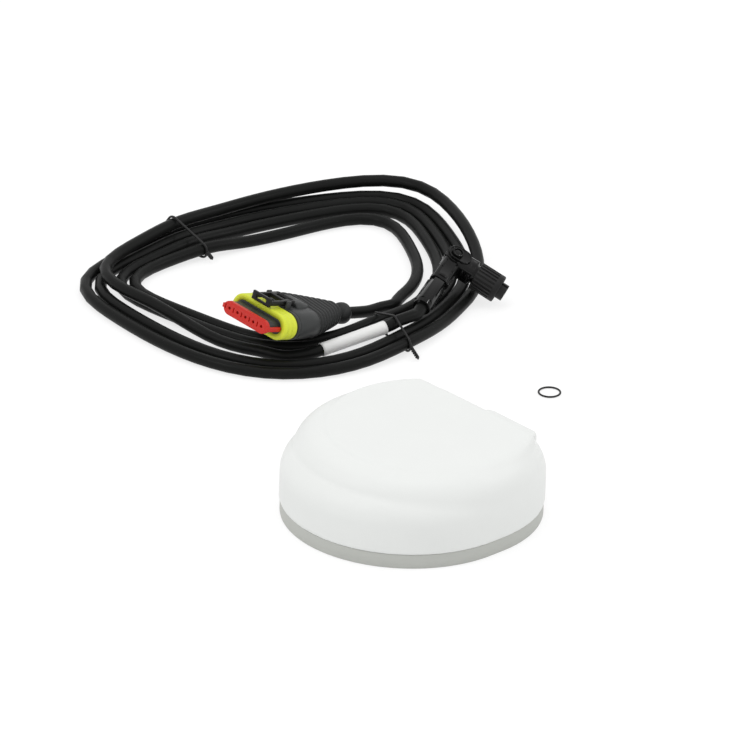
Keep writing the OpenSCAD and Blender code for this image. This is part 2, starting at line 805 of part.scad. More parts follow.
// Latch lever: windowed front plate, two arms, press pad and pivot stubs
module latch_lever() {
    front = 7.6;
    low = seal_r + 0.7;
    color([0.08, 0.08, 0.08]) at_plug() difference() {
        union() {
            translate([front, -latch_half, low]) cube([1.6, 2 * latch_half, 5.4]);
            for (s = [-1, 1])
                translate([front, s * (latch_half - 0.8) - 0.8, latch_pivot.y - 1.5]) cube([18.4, 1.6, 3]);
            translate([latch_pivot.x - 1.6, -latch_half, latch_pivot.y - 1.2]) cube([7, 2 * latch_half, 2.7]);
            translate([latch_pivot.x, 0, latch_pivot.y]) rotate([90, 0, 0])
                cylinder(r = 0.9, h = 2 * (latch_half + latch_gap + 1), center = true);
        }
        translate([front - 1, -3.6, low + 1.5]) cube([4, 7.2, 2.2]);
    }
}

module plug_contacts() {
    color([0.75, 0.75, 0.72]) at_plug() way_stations() along_plug(lock_t + 1) difference() {
        cylinder(r = 1.4, h = 15);
        translate([0, 0, -1]) cylinder(r = 0.8, h = 10);
    }
}

module wire_seals() {
    color([0.85, 0.60, 0.15]) at_plug() way_stations() along_plug(25) difference() {
        cylinder(r = 2.1, h = 7);
        translate([0, 0, -1]) cylinder(r = 0.95, h = 10);
    }
}

// Five cores that gather from the contacts into a round bundle
bundle_x = boot_x[1] - 6;
bundle_r = 1.75;
bundle_dir = [180, 108, 252, 36, -36];
module harness_wires() {
    color([0.70, 0.70, 0.72]) at_plug() for (k = [0:plug_ways - 1]) {
        y = (k - (plug_ways - 1) / 2) * plug_pitch;
        swept_tube([[lock_t + 16, y, 0], [body_x[1] - 1, y, 0],
            [bundle_x, bundle_r * cos(bundle_dir[k]), bundle_r * sin(bundle_dir[k])]], 0.85, 6);
    }
}

// Ribbed rubber boot that draws in to a neck and a bulb round the cable
boot_row = plug_row - 3;
module plug_boot() {
    step = (boot_x[1] - boot_x[0]) / boot_ribs;
    color([0.17, 0.17, 0.17]) at_plug() difference() {
        union() {
            for (k = [0:boot_ribs - 1]) {
                f = k / (boot_ribs - 1);
                row = boot_row * (1 - 0.86 * f);
                r = seal_r - 0.2 - 1.8 * f;
                along_plug(boot_x[0] + k * step) linear_extrude(step + 0.2) stadium(row * 0.96, r - 0.9);
                along_plug(boot_x[0] + k * step + 0.4) linear_extrude(0.6 * step) stadium(row, r);
            }
            along_plug(boot_x[1] - 1) cylinder(r = 4.2, h = 5);
            along_plug(boot_x[1] + 3) rotate_extrude() {
                translate([0, 1]) square([bulb_r, plug_end - boot_x[1] - 5]);
                square([bulb_r - 1, plug_end - boot_x[1] - 3]);
                for (y = [1, plug_end - boot_x[1] - 4])
                    translate([bulb_r - 1, y]) circle(1);
            }
        }
        hull() {
            along_plug(boot_x[0] - 1) linear_extrude(1.5) stadium(boot_row - 2, 3.4, $fn = 24);
            along_plug(boot_x[1] - 5) linear_extrude(1) stadium(3, 2.6, $fn = 24);
        }
    }
}

base_housing();
top_cover();
cover_gasket();
cover_screws();
mount_inserts();
main_board();
board_standoffs();
board_screws();
receiver_module();
shield_can();
antenna_spacers();
ground_plane();
patch_antenna();
feed_pin();
coax_lead();
socket_shell();
socket_gasket();
socket_nut();
socket_insert();
socket_pins();
socket_leads();
board_header();
seal_ring();
cable_coil();
plug_lead();
connector_lead();
cable_label();
tie_rear();
tie_front();
elbow_body();
elbow_cap();
coupling_nut();
contact_carrier();
carrier_contacts();
gland_seal();
gland_nut();
plug_housing();
secondary_lock();
interface_seal();
latch_lever();
plug_contacts();
wire_seals();
harness_wires();
plug_boot();
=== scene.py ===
import json
import math

import bmesh
import bpy
from mathutils import Matrix, Vector, geometry


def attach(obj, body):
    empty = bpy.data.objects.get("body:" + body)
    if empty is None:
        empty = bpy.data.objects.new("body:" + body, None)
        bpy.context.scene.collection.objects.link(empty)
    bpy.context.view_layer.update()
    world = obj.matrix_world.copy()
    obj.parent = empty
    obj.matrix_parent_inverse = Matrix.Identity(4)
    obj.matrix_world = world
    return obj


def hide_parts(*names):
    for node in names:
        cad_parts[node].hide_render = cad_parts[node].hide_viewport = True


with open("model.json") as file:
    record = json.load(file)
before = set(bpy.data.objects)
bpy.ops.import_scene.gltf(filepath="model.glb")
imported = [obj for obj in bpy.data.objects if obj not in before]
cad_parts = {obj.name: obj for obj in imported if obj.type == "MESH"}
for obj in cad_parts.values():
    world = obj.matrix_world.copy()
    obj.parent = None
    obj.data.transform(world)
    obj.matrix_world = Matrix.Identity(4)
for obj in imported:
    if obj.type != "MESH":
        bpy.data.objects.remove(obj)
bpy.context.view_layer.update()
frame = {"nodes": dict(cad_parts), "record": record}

nodes = frame["nodes"]

# The studio: a long lens looks down at the set over a plain pale floor, rolled
# a little to the left, in a white tent with a lamp above and two small strips.
scene = bpy.context.scene
scene.view_settings.view_transform = "Standard"
azimuth, elevation, roll = math.radians(46), math.radians(26.5), math.radians(2)
metres_per_pixel, frame_pixels, camera_distance = 0.000501, 746, 14.0
origin_pixel = Vector((411.5, 509.4))
ahead = Vector((-math.sin(azimuth) * math.cos(elevation), math.cos(azimuth) * math.cos(elevation),
                -math.sin(elevation)))
level_right = Vector((math.cos(azimuth), math.sin(azimuth), 0))
level_up = level_right.cross(ahead)
right = level_right * math.cos(roll) + level_up * math.sin(roll)
up = level_up * math.cos(roll) - level_right * math.sin(roll)
off_axis = (Vector((frame_pixels / 2, frame_pixels / 2)) - origin_pixel) * metres_per_pixel
eye = right * off_axis.x - up * off_axis.y - ahead * camera_distance
camera = bpy.data.objects.new("camera", bpy.data.cameras.new("camera"))
camera.data.sensor_width = 36
camera.data.lens = 36 * camera_distance / (metres_per_pixel * frame_pixels)
camera.data.clip_end = 100
camera.matrix_world = Matrix.Translation(eye) @ Matrix((right, up, -ahead)).transposed().to_4x4()
scene.collection.objects.link(camera)
scene.camera = camera

sheet = bmesh.new()
bmesh.ops.create_grid(sheet, x_segments=1, y_segments=1, size=6.0,
                      matrix=Matrix.Translation((0, 0, -0.0002)))
floor_mesh = bpy.data.meshes.new("floor")
sheet.to_mesh(floor_mesh)
sheet.free()
floor = bpy.data.objects.new("floor", floor_mesh)
scene.collection.objects.link(floor)
paper = bpy.data.materials.new("paper")
paper.use_nodes = True
tree = paper.node_tree
tree.nodes.clear()
paper_out = tree.nodes.new("ShaderNodeOutputMaterial")
matt = tree.nodes.new("ShaderNodeBsdfDiffuse")
matt.inputs["Color"].default_value = (0.30, 0.30, 0.30, 1)
plain = tree.nodes.new("ShaderNodeBsdfDiffuse")
plain.inputs["Color"].default_value = (0.85, 0.85, 0.85, 1)
glow = tree.nodes.new("ShaderNodeEmission")
glow.inputs["Color"].default_value = (1, 1, 1, 1)
glow.inputs["Strength"].default_value = 0.74
seen = tree.nodes.new("ShaderNodeAddShader")
ray = tree.nodes.new("ShaderNodeLightPath")
mirrored = tree.nodes.new("ShaderNodeMath")
mirrored.operation = "MAXIMUM"
through = tree.nodes.new("ShaderNodeMath")
through.operation = "MAXIMUM"
pick = tree.nodes.new("ShaderNodeMixShader")
tree.links.new(ray.outputs["Is Camera Ray"], mirrored.inputs[0])
tree.links.new(ray.outputs["Is Glossy Ray"], mirrored.inputs[1])
tree.links.new(mirrored.outputs[0], through.inputs[0])
tree.links.new(ray.outputs["Is Transmission Ray"], through.inputs[1])
tree.links.new(through.outputs[0], pick.inputs[0])
tree.links.new(matt.outputs[0], seen.inputs[0])
tree.links.new(glow.outputs[0], seen.inputs[1])
tree.links.new(plain.outputs[0], pick.inputs[1])
tree.links.new(seen.outputs[0], pick.inputs[2])
tree.links.new(pick.outputs[0], paper_out.inputs[0])
floor_mesh.materials.append(paper)

world = bpy.data.worlds.new("tent")
scene.world = world
world.use_nodes = True
tent = world.node_tree
tent.nodes["Background"].inputs["Color"].default_value = (1, 1, 1, 1)
facing = tent.nodes.new("ShaderNodeTexCoord")
height = tent.nodes.new("ShaderNodeSeparateXYZ")
bright = tent.nodes.new("ShaderNodeMapRange")
bright.inputs["To Min"].default_value = 0.86
bright.inputs["To Max"].default_value = 0.90
tent.links.new(facing.outputs["Generated"], height.inputs["Vector"])
tent.links.new(height.outputs["Z"], bright.inputs["Value"])
tent.links.new(bright.outputs["Result"], tent.nodes["Background"].inputs["Strength"])
for name, side, lift, back, size, watts in (
        ("lamp_over", -0.1, 1.7, 0.1, 0.9, 3.0),
        ("strip_left", -1.0, 1.1, -0.5, 0.12, 2.2),
        ("strip_right", 1.1, 0.9, 0.2, 0.12, 1.6)):
    lamp = bpy.data.lights.new(name, "AREA")
    lamp.size = size
    lamp.energy = watts
    lamp_object = bpy.data.objects.new(name, lamp)
    lamp_object.location = level_right * side + Vector((ahead.x, ahead.y, 0)) * back + Vector((0, 0, lift))
    lamp_object.rotation_euler = lamp_object.location.to_track_quat("Z", "Y").to_euler()
    scene.collection.objects.link(lamp_object)

# The cable: one black jacketed cord from the harness plug, round five turns laid
# side by side, over the upper crossing at the back and on to the elbow connector.
# Its extruded jacket is satin, with a fine drag along its length and a random tone.
body_name = "receiver_and_cable"
cable_d = 0.0062
lay_turn = Matrix.Rotation(azimuth, 4, "Z")
coil_at = Vector((-0.0575, 0.2485, 0))
side_dirs, side_reaches, corner_power = (16, 125, 234, 315), (0.0635, 0.050, 0.0645, 0.052), 3.6
turn_pitch, pitch_spread, pitch_dir = 0.0069, 0.002, 115
front_gap, open_dir, layer_rise, start_draw = 0.011, 255, 0.0069, 0.6
climb_turn, cross_turn, nose_turn, fall_turn = (4.24, 4.36), (4.36, 4.62), (4.6, 4.84), (4.82, 4.93)
tie_dirs, tie_lift = (150, -53), 0.0018


def ease(low, high, x):
    u = min(1, max(0, (x - low) / (high - low)))
    return u * u * (3 - 2 * u)


def cosd(a):
    return math.cos(math.radians(a))


def sind(a):
    return math.sin(math.radians(a))


def coil_reach(a, lane, loose):
    inner = sum((max(0, cosd(a - d)) / r) ** corner_power for d, r in zip(side_dirs, side_reaches))
    pitch = turn_pitch + pitch_spread * max(0, cosd(a - pitch_dir)) ** 2
    opening = front_gap * max(0, cosd(a - open_dir)) ** 1.5
    return inner ** (-1 / corner_power) + pitch * lane + opening * loose


def looseness(t):
    return 0 if t < 2.5 or t > 4.5 else 1.3 if t < 3.5 else 1.5


def coil_point(t):
    a = 360 * t - 90
    lane = t - start_draw * (1 - ease(0.5, 0.8, t)) - 1.5 * ease(*cross_turn, t) - 0.5 * ease(*nose_turn, t)
    r = coil_reach(a, lane, looseness(t))
    hump = max(max(0, cosd(a - d)) ** 24 for d in tie_dirs)
    level = ease(*climb_turn, t) - ease(*fall_turn, t)
    return coil_at + Vector((r * cosd(a), r * sind(a),
                             cable_d / 2 + 0.0001 + tie_lift * hump + layer_rise * level))


rings_per_turn, first_turn, last_turn = 72, 5 / 24, 119 / 24
coil_steps = round((last_turn - first_turn) * rings_per_turn)
coil_mid = [coil_point(first_turn + k / rings_per_turn) for k in range(coil_steps + 1)]
coarse = [coil_point(k / 24) for k in (5, 6, 118, 119)]
coil_in = (coarse[1] - coarse[0]).normalized() * cable_d
coil_tail = coarse[3] - coarse[2]
coil_out = Vector((coil_tail.x, coil_tail.y, 0)).normalized() * cable_d
coil_start, coil_stop = coil_mid[0] - coil_in, coil_mid[-1] + coil_out

plug_place = (Matrix.Translation((-0.0872, 0.1536, 0.0279)) @ Matrix.Rotation(math.radians(43.5), 4, "Z")
              @ Matrix.Rotation(math.radians(15.5), 4, "Y") @ Matrix.Rotation(math.radians(6), 4, "X"))
elbow_place = (Matrix.Translation((0.0172, 0.2413, 0.0205)) @ Matrix.Rotation(math.radians(-16.6), 4, "Z")
               @ Matrix.Rotation(math.radians(25.8), 4, "Y") @ Matrix.Rotation(math.radians(12.2), 4, "X"))
plug_lead = [plug_place @ Vector((0.0727, 0, 0)), plug_place @ Vector((0.0789, 0, 0)),
             Vector((-0.025, 0.2125, 0.0046)), Vector((-0.0185, 0.219, 0.0037)),
             coil_start - coil_in, coil_start]
label_low, label_high = Vector((-0.0492, 0.1656, 0.0046)), Vector((-0.0154, 0.1852, 0.0098))
elbow_lead = [coil_stop, coil_stop + coil_out / 2, Vector((-0.0655, 0.1606, 0.0033)),
              Vector((-0.0575, 0.1622, 0.0036)), label_low, (label_low + label_high) / 2, label_high,
              Vector((-0.0095, 0.1896, 0.0112)), Vector((-0.0034, 0.1942, 0.0116)),
              elbow_place @ Vector((0, -0.0482, 0)), elbow_place @ Vector((0, -0.042, 0))]


def eased_route(points, parts):
    guide = [2 * points[0] - points[1]] + points + [2 * points[-1] - points[-2]]
    route = []
    for before, a, b, after in zip(guide, guide[1:], guide[2:], guide[3:]):
        for k in range(parts):
            u = k / parts
            route.append(0.5 * (2 * a + (b - before) * u + (2 * before - 5 * a + 4 * b - after) * u ** 2
                                + (3 * a - before - 3 * b + after) * u ** 3))
    return route + [points[-1]]


uv_per_metre = 10


def drawn_tube(form, path, radius, sides, closed=False, across=None):
    uv = form.loops.layers.uv.verify()
    count = len(path)
    rings, run = [], [0.0]
    for a, b in zip(path, path[1:] + path[:1]):
        run.append(run[-1] + (b - a).length)
    for i, p in enumerate(path):
        back = path[i - 1] if closed or i else path[0]
        on = path[(i + 1) % count] if closed or i < count - 1 else path[-1]
        along = (on - back).normalized()
        side = across or along.cross(Vector((0, 0, 1))).normalized()
        over = side.cross(along)
        turn = Matrix((side, over, along)).transposed().to_4x4()
        rings.append(bmesh.ops.create_circle(form, segments=sides, radius=radius,
                                             matrix=Matrix.Translation(p) @ turn)["verts"])
    for i in range(count if closed else count - 1):
        low, high = rings[i], rings[(i + 1) % count]
        here, there = run[i] * uv_per_metre, run[i + 1] * uv_per_metre
        for k in range(sides):
            quad = form.faces.new((low[k], low[(k + 1) % sides], high[(k + 1) % sides], high[k]))
            quad.smooth = True
            corners = ((here, k), (here, k + 1), (there, k + 1), (there, k))
            for loop, (u, v) in zip(quad.loops, corners):
                loop[uv].uv = (u, v / sides)
    if not closed:
        form.faces.new(rings[0][::-1])
        form.faces.new(rings[-1])


def made(name, form, finish, body, slot, *stands_for):
    bmesh.ops.recalc_face_normals(form, faces=form.faces)
    mesh = bpy.data.meshes.new(name)
    form.to_mesh(mesh)
    form.free()
    mesh.materials.append(finish)
    piece = bpy.data.objects.new(name, mesh)
    scene.collection.objects.link(piece)
    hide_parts(*stands_for)
    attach(piece, body)
    return piece


def moulded(name, colour, rough, grain=0.0004, depth=0.00003, vary=0.06, shine=0.3, coat=0.0, metal=0.0,
            worn=0.0, along=None):
    finish = bpy.data.materials.new(name)
    finish.use_nodes = True
    tree = finish.node_tree
    shader = tree.nodes["Principled BSDF"]
    shader.inputs["Metallic"].default_value = metal
    shader.inputs["Specular IOR Level"].default_value = shine
    shader.inputs["Coat Weight"].default_value = coat
    shader.inputs["Coat Roughness"].default_value = 0.08
    place = tree.nodes.new("ShaderNodeTexCoord")
    broad = tree.nodes.new("ShaderNodeTexNoise")
    broad.inputs["Scale"].default_value = 60
    broad.inputs["Detail"].default_value = 5
    tint = tree.nodes.new("ShaderNodeMix")
    tint.data_type = "RGBA"
    tint.inputs["A"].default_value = (*[c * (1 - vary) for c in colour], 1)
    tint.inputs["B"].default_value = (*[min(1, c * (1 + vary)) for c in colour], 1)
    fine = tree.nodes.new("ShaderNodeTexNoise")
    fine.inputs["Scale"].default_value = 1 / grain
    fine.inputs["Detail"].default_value = 3
    spread = tree.nodes.new("ShaderNodeMapRange")
    spread.inputs["From Min"].default_value = 0.3
    spread.inputs["From Max"].default_value = 0.7
    spread.inputs["To Min"].default_value = max(0.03, rough - 0.07)
    spread.inputs["To Max"].default_value = min(1, rough + 0.07)
    bump = tree.nodes.new("ShaderNodeBump")
    bump.inputs["Strength"].default_value = 0.6
    bump.inputs["Distance"].default_value = depth
    tree.links.new(place.outputs["Object"], broad.inputs["Vector"])
    if along:
        drag = tree.nodes.new("ShaderNodeMapping")
        drag.inputs["Scale"].default_value = (along, 1, 1)
        tree.links.new(place.outputs["UV"], drag.inputs["Vector"])
        tree.links.new(drag.outputs["Vector"], fine.inputs["Vector"])
        fine.inputs["Scale"].default_value = 14
    else:
        tree.links.new(place.outputs["Object"], fine.inputs["Vector"])
    tree.links.new(broad.outputs["Fac"], tint.inputs["Factor"])
    colour_out = tint.outputs["Result"]
    if worn:
        shape = tree.nodes.new("ShaderNodeNewGeometry")
        edge = tree.nodes.new("ShaderNodeMapRange")
        edge.inputs["From Min"].default_value = 0.53
        edge.inputs["From Max"].default_value = 0.62
        edge.inputs["To Max"].default_value = worn
        rubbed = tree.nodes.new("ShaderNodeMix")
        rubbed.data_type = "RGBA"
        rubbed.inputs["B"].default_value = (*[min(1, 0.75 * c + 0.12) for c in colour], 1)
        tree.links.new(shape.outputs["Pointiness"], edge.inputs["Value"])
        tree.links.new(edge.outputs["Result"], rubbed.inputs["Factor"])
        tree.links.new(colour_out, rubbed.inputs["A"])
        colour_out = rubbed.outputs["Result"]
    tree.links.new(colour_out, shader.inputs["Base Color"])
    tree.links.new(fine.outputs["Fac"], spread.inputs["Value"])
    tree.links.new(spread.outputs["Result"], shader.inputs["Roughness"])
    tree.links.new(fine.outputs["Fac"], bump.inputs["Height"])
    tree.links.new(bump.outputs["Normal"], shader.inputs["Normal"])
    return finish


steps_per_point, jacket_sides = 6, 20
cable_plan = (eased_route(plug_lead, steps_per_point)[:-1] + [coil_start] + coil_mid
              + eased_route(elbow_lead, steps_per_point))
cable_path = [lay_turn @ p for p in cable_plan]
cable_form = bmesh.new()
drawn_tube(cable_form, cable_path, cable_d / 2, jacket_sides)
cable_jacket = moulded("cable_jacket", (0.006, 0.0064, 0.006), 0.40, depth=0.00004, vary=0.35, shine=0.12,
                       along=0.35)
cable = made("cable", cable_form, cable_jacket, body_name, "cable_black",
             "cable_coil", "plug_lead", "connector_lead")

# The base: a shallow grey tray of moulded plastic that closes the receiver from
# below. Its edges are broken by a small round, as on every rigid moulding here.
slots = {s["node"]: s["material_slot"] for s in frame["record"]["subparts"]}
corner_angle, crisp_angle, flat_angle = math.radians(28), math.radians(35), math.radians(0.5)
weld = 2e-6


def bent(edge, angle):
    return len(edge.link_faces) == 2 and edge.calc_face_angle(0) > angle


def smoothed(form):
    for face in form.faces:
        face.smooth = True


def rounded(form, width, steps=2):
    corners = [e for e in form.edges if bent(e, corner_angle)]
    bmesh.ops.bevel(form, geom=corners, offset=width, offset_type="OFFSET", affect="EDGES", segments=steps,
                    profile=0.5, material=-1, clamp_overlap=True)
    smoothed(form)
    for e in form.edges:
        e.smooth = not bent(e, crisp_angle)


def welded_copy(node):
    form = bmesh.new()
    form.from_mesh(nodes[node].data)
    bmesh.ops.remove_doubles(form, verts=form.verts, dist=weld)
    return form


def solid_copy(node):
    form = welded_copy(node)
    bmesh.ops.dissolve_limit(form, angle_limit=flat_angle, verts=form.verts, edges=form.edges)
    return form


def carried_over(node, width, finish, body=body_name, steps=2):
    form = solid_copy(node)
    rounded(form, width, steps)
    return made(node + "_piece", form, finish, body, slots[node], node)


carried_over("base_housing", 0.0006,
             moulded("base_grey", (0.50, 0.51, 0.48), 0.5, 0.0004, 0.00004, 0.025, worn=0.15), steps=3)

# The pieces inside the receiver: board, module, amplifier, antenna and their
# fixings, which are seen only when the cover is off.
def recoated(kit, vary):
    for node, colour, rough, metal in kit:
        nodes[node].data.materials.clear()
        nodes[node].data.materials.append(moulded(node + "_finish", colour, rough, vary=vary, metal=metal))


recoated((
    ("cover_gasket", (0.02, 0.02, 0.02), 0.6, 0.0), ("cover_screws", (0.55, 0.55, 0.57), 0.3, 1.0),
    ("mount_inserts", (0.62, 0.45, 0.16), 0.3, 1.0), ("main_board", (0.02, 0.13, 0.05), 0.35, 0.0),
    ("board_standoffs", (0.6, 0.6, 0.62), 0.3, 1.0), ("board_screws", (0.55, 0.55, 0.57), 0.3, 1.0),
    ("receiver_module", (0.5, 0.51, 0.52), 0.35, 1.0), ("shield_can", (0.55, 0.56, 0.57), 0.3, 1.0),
    ("antenna_spacers", (0.75, 0.75, 0.72), 0.5, 0.0), ("ground_plane", (0.55, 0.27, 0.10), 0.35, 1.0),
    ("patch_antenna", (0.62, 0.54, 0.38), 0.6, 0.0), ("feed_pin", (0.7, 0.5, 0.17), 0.25, 1.0),
    ("coax_lead", (0.02, 0.02, 0.02), 0.45, 0.0), ("socket_leads", (0.5, 0.04, 0.03), 0.45, 0.0),
    ("board_header", (0.8, 0.8, 0.74), 0.5, 0.0)), 0.08)

# The panel socket under the hood: a nickel sleeve with a black insert and gold
# pins, clamped through the recess wall on a flat rubber washer.
recoated((
    ("socket_shell", (0.60, 0.60, 0.58), 0.28, 1.0), ("socket_gasket", (0.02, 0.02, 0.02), 0.6, 0.0),
    ("socket_nut", (0.58, 0.58, 0.57), 0.3, 1.0), ("socket_insert", (0.015, 0.015, 0.015), 0.45, 0.0),
    ("socket_pins", (0.75, 0.52, 0.18), 0.25, 1.0)), 0.06)

# The radome: one white shell in three soft tiers with a flat, a sloped shelf and
# the connector hood, moulded in a fine spark grain. Its form is drawn over with
# an even mesh and relaxed, and its creases fade out toward the connector.
radome = made("radome", welded_copy("top_cover"),
              moulded("radome_white", (0.80, 0.815, 0.80), 0.45, 0.0005, 0.00003, 0.012),
              body_name, slots["top_cover"], "top_cover")
even = radome.modifiers.new("even", "REMESH")
even.mode = "VOXEL"
even.voxel_size = 0.0008
even.use_smooth_shade = True
relaxed = radome.modifiers.new("relaxed", "SMOOTH")
relaxed.factor = 0.5
relaxed.iterations = 5
radome_mesh = bpy.data.meshes.new_from_object(radome.evaluated_get(bpy.context.evaluated_depsgraph_get()))
radome.modifiers.clear()
radome.data = radome_mesh
shell = bmesh.new()
shell.from_mesh(radome_mesh)
crease_low, flat_edge, crease_end, fade_step, fade_steps, passes = 0.020, 0.036, -0.030, 0.005, 14, 3
for k in range(fade_steps):
    softened = [v for v in shell.verts if v.co.z > crease_low and v.co.y < flat_edge and v.co.x > crease_end
                and v.co.dot(level_right) > crease_end + fade_step * k]
    for again in range(passes):
        bmesh.ops.smooth_vert(shell, verts=softened, factor=0.5, use_axis_x=True, use_axis_y=True,
                              use_axis_z=True)
shell.to_mesh(radome_mesh)
shell.free()

# The loose sealing ring: a thin black rubber ring for the connector's face, turned
# from a round section, which lies flat on the floor beside the receiver.
ring_form = bmesh.new()
ring_radius, ring_thick = 0.0055, 0.0005
bmesh.ops.create_circle(ring_form, segments=14, radius=ring_thick,
                        matrix=Matrix.Translation((ring_radius, 0, 0)) @ Matrix.Rotation(math.pi / 2, 4, "X"))
bmesh.ops.spin(ring_form, geom=ring_form.verts[:] + ring_form.edges[:], cent=(0, 0, 0), axis=(0, 0, 1),
               angle=2 * math.pi, steps=72, use_merge=True)
bmesh.ops.remove_doubles(ring_form, verts=ring_form.verts, dist=1e-6)
bmesh.ops.translate(ring_form, verts=ring_form.verts, vec=lay_turn @ Vector((0.0678, 0.1359, ring_thick)))
smoothed(ring_form)
made("sealing_ring", ring_form, moulded("ring_rubber", (0.010, 0.010, 0.010), 0.5, 0.0003, 0.00002, 0.2),
     body_name, slots["seal_ring"], "seal_ring")

# The wire ties: a length of black coated wire pulled tight round the turns, its
# two ends twisted together and left as a short tail.
wire_r, tail_r, tail_twist_r = 0.00062, 0.00052, 0.0006
tie_slack, floor_gap, span_step = 0.00025, 0.0001, 0.002
grip = cable_d / 2 + wire_r + tie_slack
tie_black = moulded("tie_wire", (0.012, 0.012, 0.012), 0.38, 0.0005, 0.00003, 0.2)
for node, tie_dir, skew, lanes, tail_side, tail_drop, tail_length in (
        ("tie_rear", tie_dirs[0], -14, (0, 3), -1, 30, 0.0045),
        ("tie_front", tie_dirs[1], -6, (1, 4), 1, 22, 0.0085)):
    lane = (tie_dir + 90) / 360
    inner, outer = (coil_reach(tie_dir, lane + n, looseness(lane + n)) for n in lanes)
    centre = coil_at + (inner + outer) / 2 * Vector((cosd(tie_dir), sind(tie_dir), 0))
    across = Vector((cosd(tie_dir + skew), sind(tie_dir + skew), 0))
    normal = Vector((-across.y, across.x, 0))
    hold = (outer - inner) / 2 * cosd(skew) + 0.004
    touching = []
    for a, b in zip(cable_plan, cable_plan[1:]):
        before, after = (a - centre).dot(normal), (b - centre).dot(normal)
        if before * after <= 0 and before != after:
            p = a + (b - a) * (before / (before - after))
            s = (p - centre).dot(across)
            if abs(s) < hold:
                touching += [Vector((s + grip * cosd(a), max(wire_r + floor_gap, p.z + grip * sind(a))))
                             for a in range(0, 360, 15)]
    bound = [touching[i] for i in geometry.convex_hull_2d(touching)]
    loop = []
    for a, b in zip(bound, bound[1:] + bound[:1]):
        parts = max(1, round((b - a).length / span_step))
        loop += [a + (b - a) * k / parts for k in range(parts)]
    tie_form = bmesh.new()
    stand = lay_turn @ Matrix.Translation(centre) @ Matrix((across, (0, 0, 1), normal)).transposed().to_4x4()
    drawn_tube(tie_form, [stand @ q.to_3d() for q in loop], wire_r, 10, True, lay_turn @ normal)
    knot = max((q for q in bound if q.y < 0.006), key=lambda q: q.x * tail_side)
    way = Vector((tail_side * cosd(tail_drop), -sind(tail_drop)))
    way *= min(1, (knot.y - 0.0015) / (tail_length * sind(tail_drop)))
    aside = Vector((-way.y, way.x)).normalized()
    for turn_start in (0, 180):
        strand = []
        for k in range(25):
            a = turn_start + 45 * k
            q = knot + way * tail_length * k / 24 + aside * tail_twist_r * cosd(a)
            strand.append(stand @ Vector((*q, tail_twist_r * sind(a))))
        drawn_tube(tie_form, strand, tail_r, 8)
    made(node + "_wire", tie_form, tie_black, body_name, slots[node], node)

# The label: a white film sleeve shrunk on the straight stretch before the elbow,
# left bare, with its ends a little lifted.
label_form = bmesh.new()
label_inset = 0.03 * (label_high - label_low)
label_ends = (label_low + label_inset, label_high - label_inset)
label_parts, film = 24, 0.0003
label_path = [lay_turn @ label_ends[0].lerp(label_ends[1], k / label_parts) for k in range(label_parts + 1)]
drawn_tube(label_form, label_path, cable_d / 2 + film, 32)
for v in label_form.verts:
    k = min(range(label_parts + 1), key=lambda i: (label_path[i] - v.co).length)
    lift = 1 + 0.03 * abs(2 * k / label_parts - 1) ** 6 + 0.008 * math.sin(1.7 * k)
    v.co = label_path[k] + (v.co - label_path[k]) * lift
made("cable_label_sleeve", label_form, moulded("label_film", (0.80, 0.80, 0.79), 0.36, 0.0012, 0.00005, 0.03),
     body_name, slots["cable_label"], "cable_label")

# The elbow connector: a glossy black moulding with a square arm and head, an oval
# lid with a round window, parting ridges, and a hexagonal gland over the cable.
millimetres = Matrix.Scale(0.001, 4)
elbow_set = lay_turn @ elbow_place @ millimetres
gloss_black = moulded("elbow_gloss", (0.004, 0.004, 0.004), 0.13, 0.0011, 0.00003, 0.25, 0.24)
matt_black = moulded("nut_matt", (0.010, 0.010, 0.010), 0.46, 0.0004, 0.00004, 0.2, 0.22, worn=0.15)


def block(form, low, high, width, place, steps=2):
    size = Vector(high) - Vector(low)
    middle = (Vector(high) + Vector(low)) / 2
    part = bmesh.new()
    bmesh.ops.create_cube(part, size=1, matrix=Matrix.Translation(middle) @ Matrix.Diagonal((*size, 1)))
    rounded(part, width, steps)
    joined(form, part, place)


def joined(form, part, place):
    bmesh.ops.transform(part, matrix=place, verts=part.verts)
    carrier = bpy.data.meshes.new("carrier")
    part.to_mesh(carrier)
    part.free()
    form.from_mesh(carrier)
    bpy.data.meshes.remove(carrier)


def turned_ring(form, profile, place, steps=48):
    part = bmesh.new()
    points = [part.verts.new((x, r, 0)) for x, r in profile]
    edges = [part.edges.new(pair) for pair in zip(points, points[1:] + points[:1])]
    bmesh.ops.spin(part, geom=points + edges, cent=(0, 0, 0), axis=(1, 0, 0), angle=2 * math.pi, steps=steps,
                   use_merge=True)
    bmesh.ops.remove_doubles(part, verts=part.verts, dist=1e-5)
    bmesh.ops.recalc_face_normals(part, faces=part.faces)
    rounded(part, 0.12)
    joined(form, part, place)


elbow_form = solid_copy("elbow_body")
rounded(elbow_form, 0.0004)
for side in (-1, 1):
    block(elbow_form, (4.2 * side - 0.45, -16.2, -0.7), (4.95 * side + 0.45, -5.2, 0.7), 0.3, elbow_set)
    block(elbow_form, (3.0 * side - 0.5, -12.5, 4.1), (3.0 * side + 0.5, -6.2, 4.95), 0.25, elbow_set)
turned_ring(elbow_form, ((6.4, 5.0), (6.4, 6.15), (7.3, 6.15), (7.3, 5.0)), elbow_set)
turned_ring(elbow_form, ((11.5, 4.9), (11.5, 5.9), (12.2, 5.9), (12.2, 4.9)), elbow_set)
made("elbow_moulding", elbow_form, gloss_black, body_name, slots["elbow_body"], "elbow_body")

